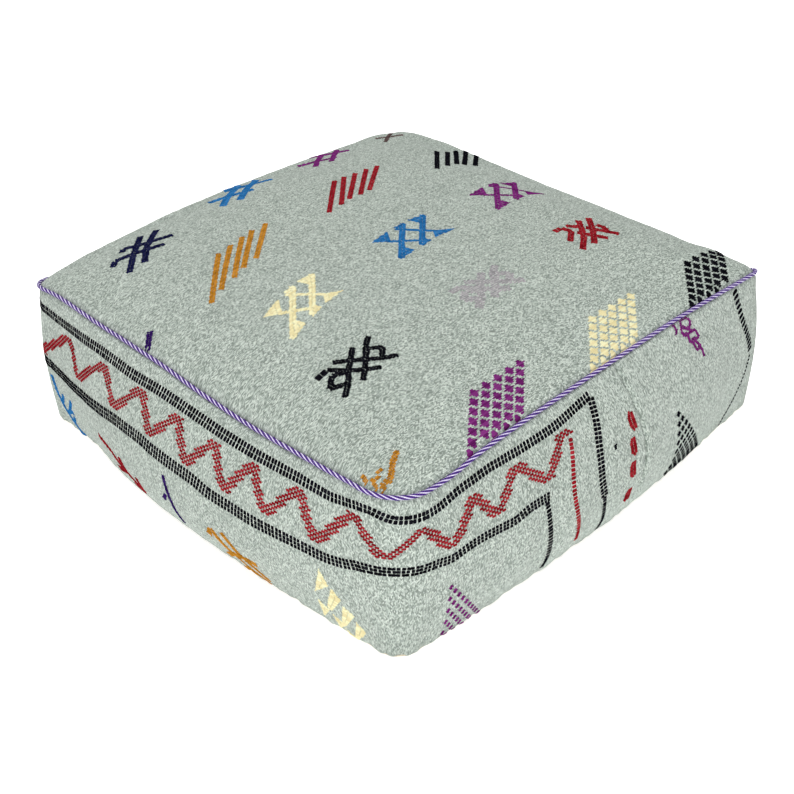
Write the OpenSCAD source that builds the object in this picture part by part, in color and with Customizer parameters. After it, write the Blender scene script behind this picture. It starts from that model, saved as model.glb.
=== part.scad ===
// Square floor cushion: a woven cover, closed underneath by a zip, over a separate stuffed insert.
// +Z is up. The origin is on the floor under the cushion's middle, and the sides face X and Y.

/* [Cushion] */
// Distance between neighbouring sides of the top seam
side = 570; // [520:2:620]
// Height of the top seam above the floor
seam_h = 180; // [160:1:200]
// Rise of the stuffed top above its seam
crown = 46; // [30:1:60]
// How far the middle of each side swells past its two corners, halfway up
side_bow = 35; // [10:1:40]
// How far the middle of each side of the top seam swells past its corners
seam_bow = 2; // [1:1:8]
// How far the middle of each side of the base swells past its corners
base_bow = 10; // [1:1:15]
// How far the corners swell past the top seam, halfway up
swell = 7; // [2:1:10]
// How far the base spreads past the top seam
base_spread = 4; // [0:1:8]
// Rounding of the corners at the top seam
corner_r = 40; // [34:1:50]
// Extra rounding of the upright corners halfway up
upright_r = 12; // [0:1:20]

/* [Cover] */
// Thickness of the woven top and side panels
weave_t = 2.4; // [1.6:0.1:2.4]
// Thickness of the plain cloth of the base
canvas_t = 1.6; // [1:0.1:1.6]
// Diameter of each of the two plies of the piping cord
ply_d = 3.2; // [2:0.2:4]

/* [Insert] */
// Thickness of the liner's cloth
liner_t = 0.8; // [0.5:0.1:0.8]
// Thickness of the wadding round the foam slab
wadding_t = 12; // [10:1:20]

/* [Zip] */
// Length of the toothed chain
chain_l = 396; // [280:4:420]
// Distance from one tooth to the next
tooth_pitch = 3.3; // [3:0.1:5]
// Width of each woven tape
tape_w = 13; // [8:0.5:13]
// Length of the slider
slider_l = 16; // [12:1:18]
// Length of the pull from its pivot to its tip
pull_l = 26; // [16:1:26]

/* [Hidden] */
gap = 0.4;           // clearance between layers that touch in the real cushion
min_r = 4;           // least rounding of an inner layer's corners
side_steps = 6;      // spans along each side of a ring
arc_steps = 4;       // spans round each corner of a ring
block = side_steps + arc_steps;
ring_n = 4 * block;
wall_steps = 6;      // spans from the base to the top seam
// Where each ring of the top lies, as a fraction of the way out from the middle to the seam
top_rows = [1, 0.96, 0.9, 0.8, 0.65, 0.42, 0.2, 0.03];
// Stations round the cushion, counted from the right-hand near corner, where two strips are sewn together
join_right = 0;
join_back = side_steps;
join_left = block + side_steps;
join_front = 3 * block + side_steps / 2;
// Insets of the inner layers from the outside of the cover
liner_in = weave_t + gap;
wadding_in = liner_in + liner_t + gap;
foam_in = wadding_in + wadding_t + gap;
// Heights of the layers above the base panel
liner_z = canvas_t + gap;
wadding_z = liner_z + liner_t + gap;
foam_z = wadding_z + wadding_t + 4;
foam_rise = 6;       // rise of the foam slab's own top
ply_clear = 0.85 * ply_d; // from the seam's edge to the middle of a ply beside it
// Shallow recess in the base that keeps the zip clear of the floor
roof_z = 8;
recess_l = chain_l + 40;
recess_w = 24;
recess_flare = 12;
slot_w = 7.4;
liner_roof = 4.8;    // how far the liner stays above the recess's roof
// Zip levels and widths
tape_z = roof_z + canvas_t + 0.1;
tape_t = 0.8;
tape_gap = 1.4;      // between the two tapes and between the two rows of teeth
tooth_h = 2.7;
teeth_z = tape_z - 0.1 - tooth_h;
bead_w = 1.2;        // solid edge that carries the teeth
tooth_reach = 1.4;
row_w = bead_w + tooth_reach;
stop_l = 3;
wing_t = 1.6;
wing_w = 11;
wing_z = teeth_z - 0.5 - wing_t;
upper_wing_z = tape_z + tape_t + 0.4;
upper_wing_t = 1.3;
upper_wing_w = 10;
flange_h = 1.1;
flange_t = 1.2;
post_t = 0.7;
post_l = 3;
lug_t = 1.2;
pin_r = 0.6;
eye_r = 0.66;        // bore in the pull, a running fit on the pin
eye_out_r = 1.3;
pivot_z = 3.1;
pull_w = 7;
pull_t = 1.2;
eye_w = 3.4;
slider_x = chain_l / 2 - slider_l / 2; // middle of the slider with the zip closed

// Outline of the cushion

function peak(f) = 4 * f * (1 - f);
function wall_half(f) = side / 2 + swell * peak(f) + base_spread * pow(1 - f, 2);
function wall_bow(f) = side_bow * peak(f) + base_bow * (1 - f) + seam_bow * f;
function wall_r(f) = corner_r + upright_r * peak(f);

// One closed ring of points: a square of half-width half with bowed sides and round corners
function ring(half, side_bow, r, z) = [
    for (k = [0 : 3], i = [0 : block - 1])
        let (
            a = half - r,
            u = i <= side_steps ? -a + 2 * a * i / side_steps : 0,
            arc = 90 * (i - side_steps) / arc_steps,
            p = i <= side_steps
                ? [half + side_bow * cos(90 * u / a), u]
                : [a + r * cos(arc), a + r * sin(arc)]
        )
        [p.x * cos(90 * k) - p.y * sin(90 * k), p.x * sin(90 * k) + p.y * cos(90 * k), z]
];

// Ring on the wall at height z, inset from the outside of the cover
function wall_ring(z, inset) =
    let (f = z / seam_h)
    ring(wall_half(f) - inset, wall_bow(f), max(min_r, wall_r(f) - inset), z);

// Rings up the wall from z0 to z1, at levels that every layer shares
function wall_rings(z0, z1, inset) =
    let (levels = [for (i = [1 : wall_steps - 1]) seam_h * i / wall_steps])
    [for (z = concat([z0], [for (z = levels) if (z > z0 + gap && z < z1 - gap) z], [z1])) wall_ring(z, inset)];

// Rings over the top from the seam to the middle, where they are higher by rise
function top_rings(inset, rise) = [
    for (s = top_rows)
        let (
            half = (side / 2 - inset) * s,
            z = seam_h + gap + rise * pow(1 - pow(s, 3), 0.75)
        )
        ring(half, seam_bow * s, min(0.8 * half, max(min_r, corner_r - inset) + 150 * (1 - s)), z)
];

function reversed(v) = [for (i = [len(v) - 1 : -1 : 0]) v[i]];

// Faces over a flat ring of n points that starts at point first
function flat_cap(n, first, up) =
    up ? [[for (i = [n - 1 : -1 : 0]) first + i]] : [[for (i = [0 : n - 1]) first + i]];

// Faces over a folded ring, whose second half runs back beside the first
function folded_cap(n, first, up) = [
    for (i = [0 : n / 2 - 2])
        let (
            a = first + i,
            b = first + n - 1 - i
        )
        each up ? [[a + 1, a, b], [a + 1, b, b - 1]] : [[a, a + 1, b], [b, a + 1, b - 1]]
];

// Whether the line from p to q climbs to the left round the middle of the cushion
function rises(p, q) = (p.x * q.y - p.y * q.x) * (q.z - p.z) >= 0;

// Solid through a chain of rings: capped at both ends, or closed on itself.
// Every layer splits its four-sided facets along the same diagonal, so that layers nest.
module loft(rings, closed = false, folded = false) {
    n = len(rings[0]);
    m = len(rings);
    last = (m - 1) * n;
    spans = closed ? m : m - 1;
    p = [for (r = rings) each r];
    quads = [
        for (j = [0 : spans - 1], i = [0 : n - 1])
            let (
                a = j * n + i,
                b = j * n + (i + 1) % n,
                c = ((j + 1) % m) * n + (i + 1) % n,
                d = ((j + 1) % m) * n + i
            )
            each rises(p[a], p[c]) ? [[a, c, b], [a, d, c]] : [[a, d, b], [b, d, c]]
    ];
    caps = closed ? []
        : folded ? concat(folded_cap(n, 0, false), folded_cap(n, last, true))
        : concat(flat_cap(n, 0, false), flat_cap(n, last, true));
    polyhedron(points = p, faces = concat(quads, caps));
}

// Sheet over the whole top, between two insets
module top_sheet(outer, inner) {
    loft(concat(reversed(top_rings(inner, crown - inner)), top_rings(outer, crown - outer)));
}

// Sheet round part of the wall, from one station to another
module wall_strip(from, to, z0, z1, outer, inner) {
    outside = wall_rings(z0, z1, outer);
    inside = reversed(wall_rings(z0, z1, inner));
    column = concat(outside, inside);
    loft([for (i = [to : -1 : from]) [for (r = column) r[i % ring_n]]], folded = true);
}

// Space over the zip, grown by g
module recess(g) {
    l = recess_l / 2;
    w = recess_w / 2;
    low = -1;
    flare = recess_flare * (1 - low / roof_z);
    corners = [[1, 1], [-1, 1], [-1, -1], [1, -1]];
    loft([
        [for (c = corners) [c.x * (l + flare + g), c.y * (w + flare + g), low]],
        [for (c = corners) [c.x * (l + g), c.y * (w + g), roof_z + g]]
    ]);
}

// Flat sheet over the whole base with the recess pressed up into it
module base_sheet(z0, t, inset, g) {
    outline = [for (p = wall_ring(0, inset)) [p.x, p.y]];
    difference() {
        union() {
            translate([0, 0, z0]) linear_extrude(t) polygon(outline);
            intersection() {
                recess(g + t);
                translate([-side, -side, z0]) cube([2 * side, 2 * side, seam_h]);
            }
        }
        recess(g);
    }
}

// Half of the base panel, whose folded edges leave a slot for the teeth
module base_half(y_side) {
    keep = 0.5 * gap;
    color([0.88, 0.85, 0.76])
        difference() {
            base_sheet(0, canvas_t, 0, 0);
            translate([-side, y_side > 0 ? keep - 2 * side : -keep, -side]) cube(2 * side);
            translate([-recess_l / 2, -slot_w / 2, 0]) cube([recess_l, slot_w, seam_h]);
        }
}

module zip_tape(y_side) {
    color([0.93, 0.91, 0.84])
        translate([-recess_l / 2 + 1, y_side > 0 ? tape_gap / 2 : -tape_gap / 2 - tape_w, tape_z])
            cube([recess_l - 2, tape_w, tape_t]);
}

// Row of teeth along one tape
module zip_row(y_side) {
    count = floor(chain_l / tooth_pitch);
    tooth_l = tooth_pitch * 0.55;
    first_tooth = 0.4;
    shift = y_side > 0 ? 0 : tooth_pitch / 2;
    tip = tape_gap / 2;
    root = tip + tooth_reach;
    back = tip + row_w;
    color([0.9, 0.88, 0.8])
        translate([-chain_l / 2, 0, teeth_z])
            linear_extrude(tooth_h)
                polygon(concat(
                    [[chain_l, y_side * back], [0, y_side * back], [0, y_side * root]],
                    [
                        for (i = [0 : count - 2])
                            let (x = shift + first_tooth + i * tooth_pitch)
                            each [
                                [x, y_side * root], [x, y_side * tip],
                                [x + tooth_l, y_side * tip], [x + tooth_l, y_side * root]
                            ]
                    ],
                    [[chain_l, y_side * root]]
                ));
}

// Named pieces

module top_panel() {
    color([0.7, 0.74, 0.7]) top_sheet(0, weave_t);
}

module side_strip(from, to) {
    color([0.68, 0.72, 0.68]) wall_strip(from, to, canvas_t + gap, seam_h - gap, 0, weave_t);
}

// One ply of the cord sewn over the top seam, out and up from the seam's edge
module piping_ply(out, up) {
    r = ply_d / 2;
    facets = 8;
    loft(
        [
            for (i = [0 : facets - 1])
                let (
                    a = 360 * i / facets,
                    reach = out + r * cos(a)
                )
                ring(side / 2 + reach, seam_bow, corner_r + reach, seam_h + up + r * sin(a))
        ],
        closed = true
    );
}

module piping_ply_purple() {
    color([0.42, 0.28, 0.62]) piping_ply(gap, ply_clear);
}

module piping_ply_pale() {
    color([0.85, 0.82, 0.9]) piping_ply(ply_clear, gap);
}

// Two small stops clamped on the closed end of the teeth
module zip_top_stops() {
    color("silver")
        for (s = [-1, 1])
            translate([chain_l / 2 + 0.5, s > 0 ? tape_gap / 2 : -tape_gap / 2 - row_w, teeth_z])
                cube([stop_l, row_w, tooth_h]);
}

// One stop across both rows at the open end
module zip_bottom_stop() {
    width = tape_gap + 2 * row_w;
    color("silver")
        translate([-chain_l / 2 - 1 - stop_l, -width / 2, teeth_z]) cube([stop_l, width, tooth_h]);
}

// Wing of the slider with a round nose
module wing(width, z, t) {
    nose = width / 2;
    translate([slider_x, 0, z]) {
        translate([-slider_l / 2, -nose, 0]) cube([slider_l - nose, width, t]);
        translate([slider_l / 2 - nose, 0, 0]) cylinder(h = t, r = nose, $fn = 64);
    }
}

module zip_slider() {
    lug_y = eye_w / 2 + 0.2;
    lug_r = 1.4;
    color([0.75, 0.72, 0.66]) {
        wing(wing_w, wing_z, wing_t);
        wing(upper_wing_w, upper_wing_z, upper_wing_t);
        // Blade that joins the wings between the two rows of teeth
        translate([slider_x + slider_l / 2 - post_l - 2, -post_t / 2, wing_z + wing_t / 2])
            cube([post_l, post_t, upper_wing_z - wing_z]);
        for (s = [-1, 1]) {
            // Side flange that guides a row of teeth
            translate([slider_x - slider_l / 2, s > 0 ? wing_w / 2 - flange_t : -wing_w / 2, wing_z])
                cube([slider_l - wing_w / 2, flange_t, wing_t + flange_h]);
            // Lug that carries one end of the pull's pin
            translate([slider_x, s > 0 ? lug_y : -lug_y - lug_t, pivot_z]) {
                translate([-lug_r, 0, 0]) cube([2 * lug_r, lug_t, wing_z + wing_t / 2 - pivot_z]);
                rotate([-90, 0, 0]) cylinder(h = lug_t, r = lug_r, $fn = 48);
            }
        }
        translate([slider_x, -lug_y - lug_t / 2, pivot_z])
            rotate([-90, 0, 0]) cylinder(h = 2 * lug_y + lug_t, r = pin_r, $fn = 32);
    }
}

// Flat pull that hangs on the slider's pin
module zip_pull() {
    neck_l = 5;
    tab_l = pull_l - neck_l;
    color([0.75, 0.72, 0.66])
        translate([slider_x, 0, pivot_z])
            difference() {
                union() {
                    rotate([-90, 0, 0])
                        translate([0, 0, -eye_w / 2]) cylinder(h = eye_w, r = eye_out_r, $fn = 48);
                    translate([-neck_l - 1, -eye_w / 2, -pull_t / 2]) cube([neck_l + 1, eye_w, pull_t]);
                    translate([-pull_l + pull_w / 2, -pull_w / 2, -pull_t / 2])
                        cube([tab_l - pull_w / 2, pull_w, pull_t]);
                    translate([-pull_l + pull_w / 2, 0, -pull_t / 2])
                        cylinder(h = pull_t, r = pull_w / 2, $fn = 64);
                }
                rotate([-90, 0, 0]) translate([0, 0, -eye_w]) cylinder(h = 2 * eye_w, r = eye_r, $fn = 32);
            }
}

module insert_liner_top() {
    color([0.95, 0.94, 0.9]) top_sheet(liner_in, liner_in + liner_t);
}

module insert_liner_side(from, to) {
    color([0.95, 0.94, 0.9]) wall_strip(from, to, wadding_z, seam_h - gap, liner_in, liner_in + liner_t);
}

module insert_liner_base() {
    color([0.95, 0.94, 0.9]) base_sheet(liner_z, liner_t, liner_in, liner_roof);
}

module wadding_upper() {
    mid = seam_h / 2;
    color("white")
        loft(concat(
            reversed(top_rings(foam_in - gap, foam_rise + gap)),
            reversed(wall_rings(mid, seam_h, foam_in - gap)),
            wall_rings(mid, seam_h, wadding_in),
            top_rings(wadding_in, crown - wadding_in)
        ));
}

module wadding_lower() {
    mid = seam_h / 2 - gap;
    color("white")
        difference() {
            loft(concat(
                wall_rings(wadding_z, mid, wadding_in),
                reversed(wall_rings(foam_z - gap, mid, foam_in - gap))
            ));
            recess(liner_roof + liner_t + gap);
        }
}

module foam_slab() {
    color([0.96, 0.93, 0.78])
        loft(concat(wall_rings(foam_z, seam_h, foam_in), top_rings(foam_in, foam_rise)));
}

top_panel();
side_strip(join_left, join_front);  // side_strip_front
side_strip(join_front, join_right + ring_n);  // side_strip_right
side_strip(join_right, join_back);  // side_strip_back_right
side_strip(join_back, join_left);  // side_strip_back_left
piping_ply_purple();
piping_ply_pale();
base_half(-1);  // base_panel_near
base_half(1);  // base_panel_far
zip_tape(-1);  // zip_tape_near
zip_tape(1);  // zip_tape_far
zip_row(-1);  // zip_teeth_near
zip_row(1);  // zip_teeth_far
zip_top_stops();
zip_bottom_stop();
zip_slider();
zip_pull();
insert_liner_top();
insert_liner_side(2 * block, 4 * block);  // insert_liner_side_near
insert_liner_side(0, 2 * block);  // insert_liner_side_far
insert_liner_base();
wadding_upper();
wadding_lower();
foam_slab();
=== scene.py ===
import math

import bpy
import numpy as np
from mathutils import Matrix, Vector
from mathutils.bvhtree import BVHTree


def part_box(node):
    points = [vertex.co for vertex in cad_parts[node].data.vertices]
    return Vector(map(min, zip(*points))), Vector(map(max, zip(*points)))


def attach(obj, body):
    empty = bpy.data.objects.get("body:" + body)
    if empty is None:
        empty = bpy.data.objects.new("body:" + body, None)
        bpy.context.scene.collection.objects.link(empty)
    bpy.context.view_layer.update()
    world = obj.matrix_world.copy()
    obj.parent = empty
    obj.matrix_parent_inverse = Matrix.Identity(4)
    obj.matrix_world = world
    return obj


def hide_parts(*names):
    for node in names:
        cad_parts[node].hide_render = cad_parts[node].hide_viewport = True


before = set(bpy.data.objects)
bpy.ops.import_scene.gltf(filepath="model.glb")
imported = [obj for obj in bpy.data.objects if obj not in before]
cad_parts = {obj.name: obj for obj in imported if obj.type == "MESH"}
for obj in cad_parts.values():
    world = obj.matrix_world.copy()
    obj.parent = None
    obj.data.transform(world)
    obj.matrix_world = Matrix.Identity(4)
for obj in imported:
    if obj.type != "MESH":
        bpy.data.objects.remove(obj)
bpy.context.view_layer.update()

# A square floor cushion. Everything is worked out in millimetres and scaled to metres as its mesh is made.
# Going round: w runs from 0 to 4, one unit for each side and the corner after it, from the right-hand corner.
# On the band, t is the distance round the seam from the front corner, and h the distance down the cloth.
MM = 0.001
rng = np.random.default_rng(7)

# ---------------------------------------------------------------- Shape of the cushion

HALF = 285.0          # half the distance between neighbouring sides of the seam
SEAM_H = 179.0        # height of the seam in the middle of a side
CROWN = 46.0          # rise of the top above its seam
SWELL = 7.0           # swell of the corners halfway up
SPREAD = 4.5          # spread of the base past the seam
DROOP = 4.5           # how far the seam hangs at its corners
BOW = (10.0, 71.0, 0.5)  # bow of a side at the base, as a control value halfway up, and at the seam
LEAN_IN = 8.5         # how much further in the right-hand side lies
TUCK = 8.0            # how far the base is tucked in near the left-hand corner
TOP_ROUNDING = 150.0  # how much larger the corner radii of the top's rings grow towards the middle
ROUNDEST = 0.62       # largest corner radius of such a ring, as a share of its half-width
CORNER = 0.12         # share of a quarter of the way round that a corner takes
SIDE_L = 487.6        # length of a side of the seam between its corners
ARC_L = 64.7          # length of one corner of the seam
QUARTER = SIDE_L + ARC_L
ROUND = 4 * QUARTER
# Radii of the back, left, front and right corners at the base, halfway up and at the seam
RADII = np.array([[38, 32, 24, 24], [66, 47, 66, 26], [41, 42, 41, 26]], float)
EVEN_RADII = np.array([[38] * 4, [66] * 4, [41] * 4], float)
FIRST_F = 0.027       # where the band starts above the floor, as a share of its height
COVER_T = 2.2         # thickness of the woven cover
CANVAS_T = 1.6        # thickness of the base's canvas

# How far the seam rides above its mean line, along t
SEAM_WAVE = np.array([
    (-1104, -7), (-850, -10), (-660, -13), (-600, -14), (-576, -10), (-556, -1), (-520, 7), (-490, 8.5),
    (-450, 5), (-410, 2), (-380, 1.5), (-300, -1), (-260, -5), (-190, -8), (-150, -7), (-110, -4),
    (-70, -1), (-30, 3), (0, 0), (30, -3), (60, -5), (90, 0), (120, 1), (170, 1.5), (250, 3), (370, 4),
    (450, 2.5), (520, 1), (540, 0), (560, -6), (580, -13), (650, -15), (800, -11), (1000, -9), (1104, -7)
], float)
# How much fuller the top is near its edge, along t
FULLNESS = np.array([
    (-1104, 3.5), (-1000, 4), (-900, 6), (-800, 8), (-700, 8), (-600, 4.5), (-552, 1), (-500, 0), (552, 0),
    (600, -3), (700, -3.5), (830, -1.5), (930, 2.5), (1020, 7), (1104, 5)
], float)


def smooth(x):
    """Eases from 0 at x = 0 to 1 at x = 1."""
    x = np.clip(x, 0, 1)
    return x * x * (3 - 2 * x)


def bell(x, width):
    """Bell curve, 1 in its middle."""
    return np.exp(-(x / width) ** 2)


def through(a, f):
    """Curve from a[0] at the base past a[1] to a[2] at the seam."""
    return a[0] * (1 - f) ** 2 + 2 * a[1] * f * (1 - f) + a[2] * f ** 2


def t_of(w):
    """Distance round the seam from the front corner."""
    w = np.mod(w, 4)
    k = np.floor(w)
    s = w - k
    side = 1 - CORNER
    along = np.where(s < side, SIDE_L * s / side, SIDE_L + ARC_L * (s - side) / CORNER)
    t = k * QUARTER + along - (2 * QUARTER + SIDE_L + ARC_L / 2)
    return np.mod(t + ROUND / 2, ROUND) - ROUND / 2


def w_of(t):
    """The other way round: where a distance t along the seam lies on the outline."""
    far = np.mod(t + 2 * QUARTER + SIDE_L + ARC_L / 2, ROUND)
    k = np.floor(far / QUARTER)
    r = far - k * QUARTER
    side = 1 - CORNER
    return k + np.where(r < SIDE_L, side * r / SIDE_L, side + CORNER * (r - SIDE_L) / ARC_L)


def outline(w, half, bow, r_last, r_next):
    """Points on a square outline with bowed sides and round corners."""
    w = np.mod(w, 4)
    k = np.floor(w)
    s = w - k
    side = 1 - CORNER
    on_side = s < side
    a_last, a_next = half - r_last, half - r_next
    u = (a_last + a_next) * np.minimum(s / side, 1) - a_last
    turn = np.clip((s - side) / CORNER, 0, 1) * math.pi / 2
    reach = np.where(u < 0, a_last, a_next)
    bowed = half + bow * np.cos(math.pi / 2 * u / np.maximum(reach, 1e-6))
    x = np.where(on_side, bowed, a_next + r_next * np.cos(turn))
    y = np.where(on_side, u, a_next + r_next * np.sin(turn))
    c, s = np.cos(k * math.pi / 2), np.sin(k * math.pi / 2)
    return x * c - y * s, x * s + y * c


def droop(w):
    """How far the seam hangs below SEAM_H."""
    return -DROOP * np.abs(np.cos(math.pi * (np.mod(w, 1) + CORNER / 2))) ** 4


def corner_radii(w, f, radii):
    """Radii of the corners before and after the side at w."""
    k = np.floor(np.mod(w, 4)).astype(int)
    return through(radii[:, (k + 3) % 4], f), through(radii[:, k], f)


def seam_wave(t):
    """How far the seam rides above its mean line."""
    spread = [np.interp(t + d, SEAM_WAVE[:, 0], SEAM_WAVE[:, 1], period=ROUND) for d in (-14, -7, 0, 7, 14)]
    return np.mean(spread, axis=0)


def pulled(x, y, z, w, f):
    """The real cushion's unevenness: its right-hand side leans in, and its base is tucked in on the left."""
    t = t_of(w)
    x = x - LEAN_IN * (np.maximum(x, 0) / HALF) ** 2 * smooth((280 - y) / 240)
    tuck = TUCK * bell(t + 470, 70) * (1 - f) ** 1.6
    x = x + tuck * (x < 0)
    y = y - 0.6 * tuck * (y > 0)
    return x, y, z


def wall(w, f, inset=0.0, even=False):
    """Point on the outside of the band; even leaves out what is particular to this cushion."""
    w, f = np.broadcast_arrays(w, f)
    half = HALF + SWELL * np.sin(math.pi * f) + SPREAD * (1 - f) ** 2.5 - inset
    r_last, r_next = corner_radii(w, f, EVEN_RADII if even else RADII)
    x, y = outline(w, half, through(BOW, f), np.maximum(r_last - inset, 4), np.maximum(r_next - inset, 4))
    z = f * (SEAM_H + droop(w) * f)
    if not even:
        x, y, z = pulled(x, y, z, w, f)
        z = z + seam_wave(t_of(w)) * smooth((f - 0.74) / 0.26)
    return np.stack([x, y, z], -1)


def top(w, s, inset=0.0, crown=CROWN):
    """Point on the outside of the top, s of the way out from the middle to the seam."""
    w, s = np.broadcast_arrays(w, s)
    half = (HALF - inset) * s
    r_last, r_next = corner_radii(w, np.ones_like(s), RADII)
    grow = TOP_ROUNDING * (1 - s)
    r_last, r_next = (np.minimum(ROUNDEST * half, np.maximum(r - inset, 4) + grow) for r in (r_last, r_next))
    x, y = outline(w, half, BOW[2] * s, r_last, r_next)
    z = SEAM_H + droop(w) * s ** 3 + crown * (1 - s ** 3) ** 0.74
    x, y, z = pulled(x, y, z, w, np.ones_like(s))
    t = t_of(w)
    full = np.interp(t, FULLNESS[:, 0], FULLNESS[:, 1], period=ROUND)
    z = z + seam_wave(t) * smooth((s - 0.9) / 0.1) + full * bell((1 - s) * HALF - 24, 17)
    return np.stack([x, y, z], -1)


def ripple(t, seed, waves=((13, 0.5), (19, 0.8), (29, 1.0))):
    """Uneven puckers along a seam, about 1 mm from crest to trough."""
    draw = np.random.default_rng(seed)
    total = np.zeros_like(np.asarray(t, float))
    for length, size in waves:
        count = max(1, round(ROUND / length))
        drift = draw.uniform(0, 2 * math.pi, 3)
        angle = 2 * math.pi * t / ROUND
        bend = 1.4 * np.sin(5 * angle + drift[0]) + 1.1 * np.sin(11 * angle + drift[1])
        total += size * np.sin(count * angle + bend + drift[2])
    return 0.3 * total


def normals(p, wrap):
    """Unit normals of a grid of points, whose rows go round the cushion when wrap is set."""
    if wrap:
        du = np.roll(p, -1, 0) - np.roll(p, 1, 0)
    else:
        du = np.gradient(p, axis=0)
    n = np.cross(du, np.gradient(p, axis=1))
    return n / np.maximum(np.linalg.norm(n, axis=-1, keepdims=True), 1e-9)


def unit(v):
    return v / np.linalg.norm(v, axis=-1, keepdims=True)


def run_length(points):
    """Distance along a line of points, from its first one."""
    return np.concatenate([[0], np.cumsum(np.linalg.norm(np.diff(points, axis=0), axis=1))])


# ---------------------------------------------------------------- Meshes


def make_object(name, verts, faces, material, weave=None):
    """Mesh object from points in millimetres. weave is each point's place in its own cloth or yarn."""
    mesh = bpy.data.meshes.new(name)
    verts = np.asarray(verts, float) * MM
    mesh.from_pydata(verts.tolist(), [], faces)
    mesh.update()
    mesh.shade_smooth()
    if weave is not None:
        layer = mesh.attributes.new("weave", "FLOAT_VECTOR", "POINT")
        layer.data.foreach_set("vector", np.asarray(weave, np.float32).ravel())
    obj = bpy.data.objects.new(name, mesh)
    bpy.context.scene.collection.objects.link(obj)
    obj.data.materials.append(material)
    return obj


def grid_faces(rows, cols, wrap=False, first=0, flip=False):
    """Faces of a grid of points numbered from first on, closed between its last and first row by wrap."""
    i = np.arange(rows if wrap else rows - 1)[:, None]
    j = np.arange(cols - 1)[None]
    a = i * cols + j
    b = ((i + 1) % rows) * cols + j
    quads = np.stack([a, b, b + 1, a + 1], -1).reshape(-1, 4) + first
    return (quads[:, ::-1] if flip else quads).tolist()


def sheet_object(name, p, thick, material, weave, n=None):
    """Closed piece of cloth: the grid p on the outside and the same grid thick further in."""
    rows, cols = p.shape[:2]
    n = normals(p, False) if n is None else n
    verts = np.concatenate([p.reshape(-1, 3), (p - thick * n).reshape(-1, 3)])
    size = rows * cols
    faces = grid_faces(rows, cols) + grid_faces(rows, cols, first=size, flip=True)
    index = np.arange(size).reshape(rows, cols)
    for rim, turned in ((index[:, 0], False), (index[:, -1], True), (index[0], True), (index[-1], False)):
        for a, b in zip(rim[:-1], rim[1:]):
            quad = [int(a), int(a) + size, int(b) + size, int(b)]
            faces.append(quad[::-1] if turned else quad)
    return make_object(name, verts, faces, material, np.concatenate([weave.reshape(-1, 3)] * 2))


def cushion_piece(obj, slot, *nodes, fill=None):
    """Puts a piece on the cushion's body and hides the CAD nodes that it stands for; slot is not used."""
    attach(obj, "cushion")
    if nodes:
        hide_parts(*nodes)
    return obj


# ---------------------------------------------------------------- Materials


class Nodes:
    """Short way to write a node tree."""

    def __init__(self, name):
        self.material = bpy.data.materials.new(name)
        self.material.use_nodes = True
        self.tree = self.material.node_tree
        self.shader = self.tree.nodes["Principled BSDF"]

    def add(self, kind, inputs=(), **settings):
        node = self.tree.nodes.new("ShaderNode" + kind)
        for key, value in settings.items():
            setattr(node, key, value)
        for key, value in dict(inputs).items():
            self.put(node.inputs[key], value)
        return node

    def put(self, socket, value):
        if isinstance(value, bpy.types.NodeSocket):
            self.tree.links.new(value, socket)
        else:
            socket.default_value = value

    def math(self, operation, *values):
        node = self.add("Math", operation=operation)
        for i, value in enumerate(values):
            self.put(node.inputs[i], value)
        return node.outputs[0]

    def plus(self, a, b):
        return self.math("ADD", a, b)

    def times(self, a, b):
        return self.math("MULTIPLY", a, b)

    def attribute(self):
        """The three parts of the weave attribute."""
        split = self.add("SeparateXYZ", {0: self.add("Attribute", attribute_name="weave").outputs["Vector"]})
        return tuple(split.outputs)

    def vector(self, x, y, z=0.0):
        return self.add("CombineXYZ", {0: x, 1: y, 2: z}).outputs[0]

    def noise(self, vector, scale=1.0, detail=2.0, roughness=0.5):
        inputs = {"Vector": vector, "Scale": scale, "Detail": detail, "Roughness": roughness}
        return self.add("TexNoise", inputs).outputs["Fac"]

    def ramp(self, factor, stops):
        node = self.add("ValToRGB", {"Fac": factor})
        points = node.color_ramp.elements
        while len(points) < len(stops):
            points.new(0.5)
        for point, (where, colour) in zip(points, stops):
            point.position = where
            point.color = (*colour, 1)
        return node.outputs["Color"]

    def tinted(self, a, b):
        """Product of two colours."""
        node = self.add("Mix", data_type="RGBA", blend_type="MULTIPLY")
        for i, value in ((0, 1.0), (6, a), (7, b)):
            self.put(node.inputs[i], value)
        return node.outputs[2]

    def bump(self, height, distance, strength=1.0):
        node = self.add("Bump", {"Height": height, "Strength": strength, "Distance": distance})
        self.put(self.shader.inputs["Normal"], node.outputs["Normal"])

    def surface(self, colour, roughness, sheen=0.0, sheen_roughness=0.5, specular=0.3, metallic=0.0):
        self.put(self.shader.inputs["Base Color"], colour)
        for key, value in (
            ("Roughness", roughness), ("Sheen Weight", sheen), ("Sheen Roughness", sheen_roughness),
            ("Specular IOR Level", specular), ("Metallic", metallic)
        ):
            self.put(self.shader.inputs[key], value)
        return self.material


def grey(v):
    return (v, v, v)


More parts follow.
